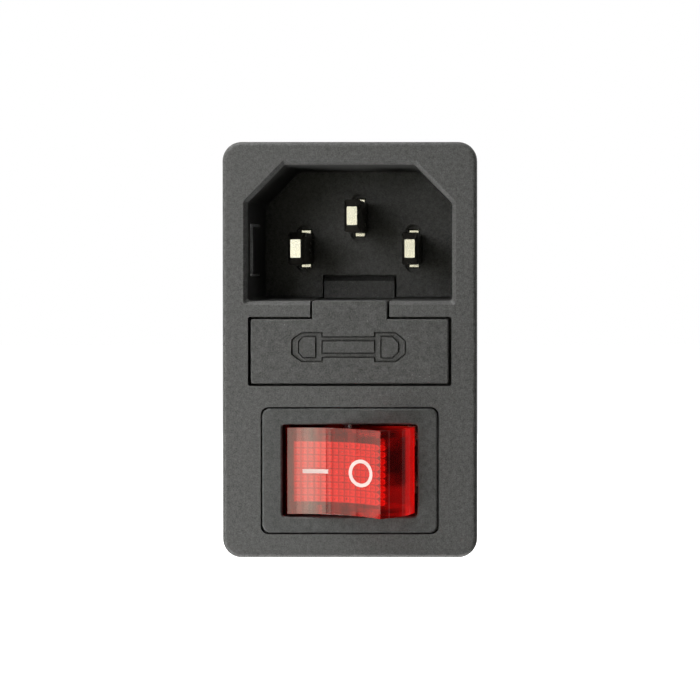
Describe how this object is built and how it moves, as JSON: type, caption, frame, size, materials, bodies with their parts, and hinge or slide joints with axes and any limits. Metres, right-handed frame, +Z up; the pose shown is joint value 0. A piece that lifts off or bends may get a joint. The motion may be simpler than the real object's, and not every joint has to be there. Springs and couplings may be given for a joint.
{
  "type": "fused power inlet",
  "caption": "Snap-in mains power inlet with a bladed connector recess, a pull-out fuse drawer and a lighted red rocker switch in one flange.",
  "frame": {"origin": "centre of the flange's back face, where it seats on the panel", "axes": "+X to the right seen from the front, +Z up from the switch to the recess, +Y back through the panel; the front looks along -Y"},
  "size_m": [0.0306, 0.0331, 0.05],
  "materials": {
    "housing_plastic": "fine matt moulded thermoplastic",
    "drawer_plastic": "fine matt moulded thermoplastic",
    "switch_plastic": "matt moulded nylon",
    "rocker_red": "polished translucent red polycarbonate",
    "plated_blade": "bright nickel plate on brass",
    "spring_brass": "rolled phosphor bronze",
    "terminal_brass": "stamped brass",
    "fuse_glass": "clear drawn glass",
    "fuse_cap_metal": "nickel plated cap",
    "fuse_wire_metal": "drawn wire",
    "plunger_plastic": "natural acetal",
    "spring_steel": "drawn spring wire",
    "lamp_glass": "clear glass bulb",
    "resistor_lacquer": "lacquered",
    "tinned_wire": "tinned wire",
    "contact_silver": "pressed silver alloy"
  },
  "bodies": {
    "inlet": {"housing": "housing_plastic", "line_pin": "plated_blade", "neutral_pin": "plated_blade", "earth_pin": "plated_blade", "line_fuse_clip": "spring_brass", "load_fuse_clip": "spring_brass", "switch_body": "switch_plastic", "upper_centre_terminal": "terminal_brass", "lower_centre_terminal": "terminal_brass", "upper_end_terminal": "terminal_brass", "lower_end_terminal": "terminal_brass", "fixed_contact_rivets": "contact_silver"},
    "rocker_group": {"rocker": "rocker_red", "upper_plunger": "plunger_plastic", "lower_plunger": "plunger_plastic", "upper_plunger_spring": "spring_steel", "lower_plunger_spring": "spring_steel", "neon_lamp": "lamp_glass", "lamp_resistor": "resistor_lacquer", "lamp_leads": "tinned_wire"},
    "contact_bars": {"upper_contact_bar": "spring_brass", "lower_contact_bar": "spring_brass", "moving_contact_rivets": "contact_silver"},
    "drawer_group": {"fuse_drawer": "drawer_plastic", "fuse_glass_tube": "fuse_glass", "fuse_cap_left": "fuse_cap_metal", "fuse_cap_right": "fuse_cap_metal", "fuse_wire": "fuse_wire_metal"}
  },
  "joints": [
    {"name": "rocker_hinge", "type": "hinge", "parent": "inlet", "child": "rocker_group", "pos_m": [0, 0.0003, -0.01449], "axis": [0, 0, 1], "range_deg": [0, 40]},
    {"name": "contact_bar_hinge", "type": "hinge", "parent": "inlet", "child": "contact_bars", "pos_m": [0, 0.0071, -0.01449], "axis": [0, 0, 1], "range_deg": [-20, 0]},
    {"name": "fuse_drawer_slide", "type": "slide", "parent": "inlet", "child": "drawer_group", "axis": [0, -1, 0], "range_m": [0, 0.019]}
  ],
  "couplings": [
    {"joint": "contact_bar_hinge", "follows": "rocker_hinge", "ratio": -0.5}
  ]
}
